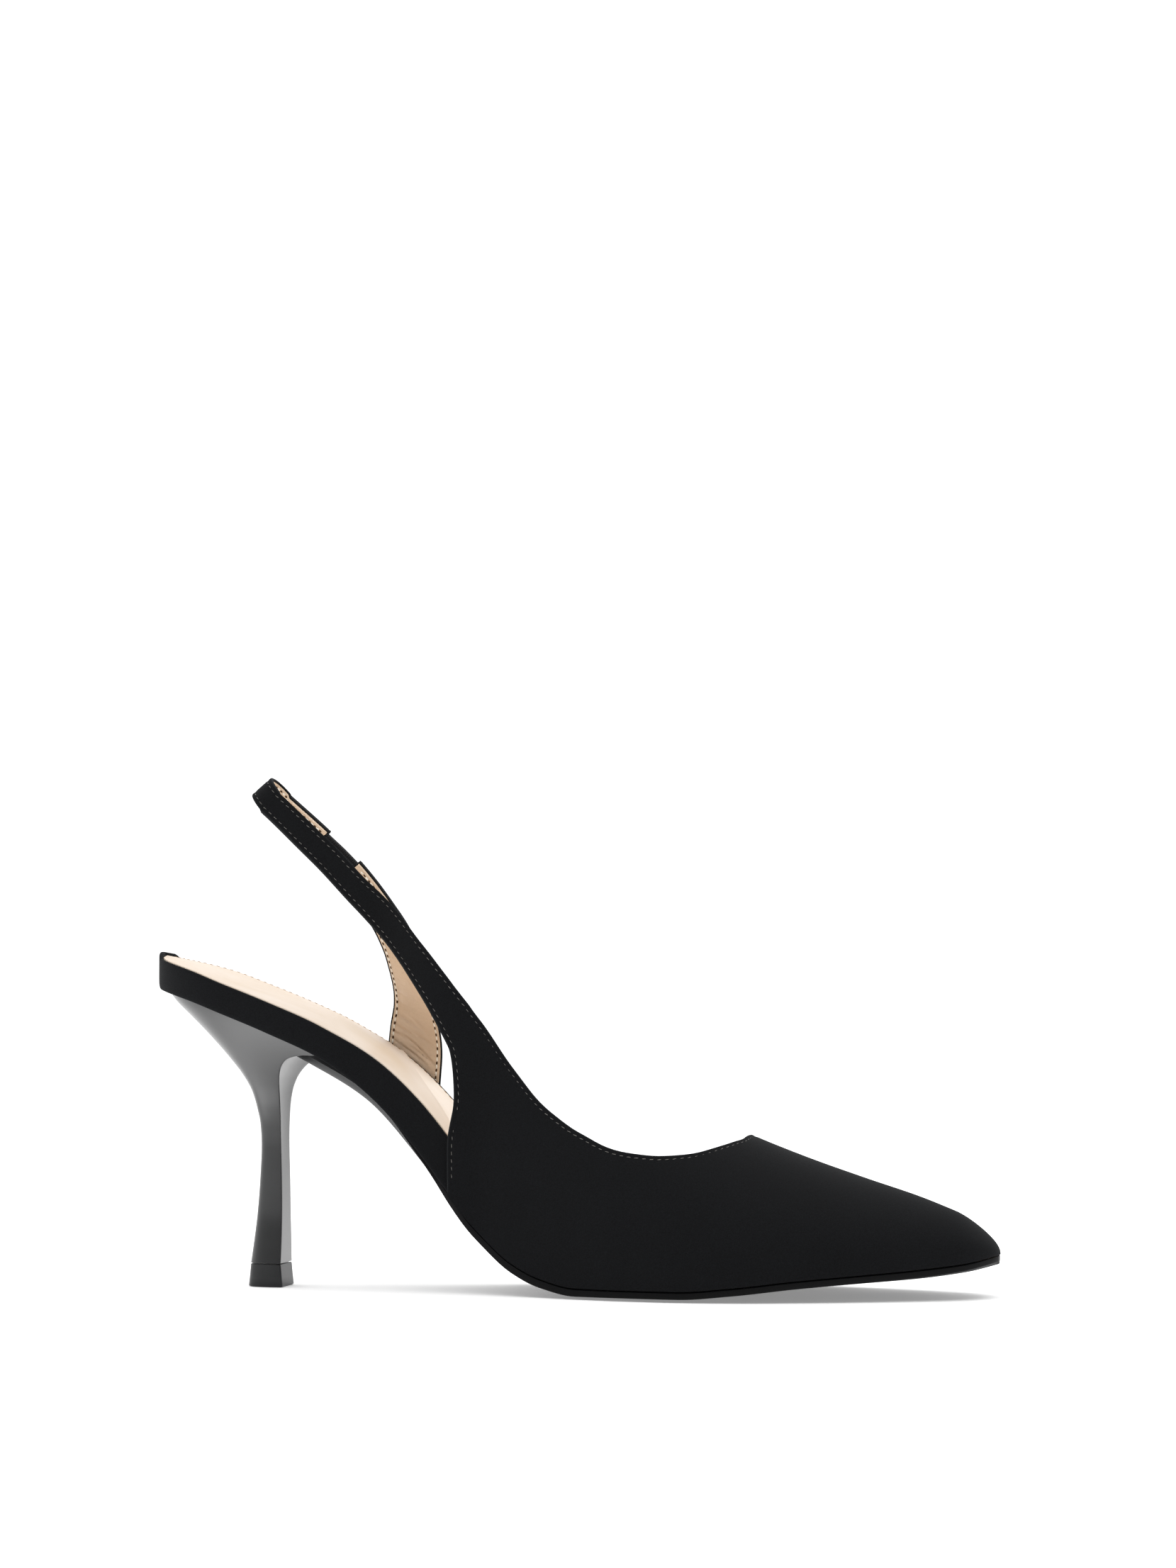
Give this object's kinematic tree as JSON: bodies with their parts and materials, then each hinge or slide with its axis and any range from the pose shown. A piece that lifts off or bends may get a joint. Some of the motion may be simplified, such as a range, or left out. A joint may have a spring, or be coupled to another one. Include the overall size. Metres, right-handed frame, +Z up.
{
  "type": "slingback pump",
  "caption": "Pointed slingback pump with an asymmetric topline, a narrow heel strap, an open arch and a flared stiletto heel.",
  "frame": {"origin": "middle of the top piece's ground face, under the heel", "axes": "+X towards the toe, +Y to the medial side of the right foot, +Z up from the floor"},
  "size_m": [0.241, 0.0721, 0.1457],
  "materials": {
    "suede": "matt suede",
    "elastic": "ribbed elastic tape",
    "sock": "smooth, slightly glossy",
    "outsole": "satin",
    "heel": "gloss",
    "top_piece": "matt"
  },
  "bodies": {
    "root": {"upper": "suede", "medial_band": "suede", "elastic": "elastic", "footbed": "suede", "sock_lining": "sock", "outsole": "outsole", "heel": "heel", "top_piece": "top_piece"}
  },
  "joints": []
}
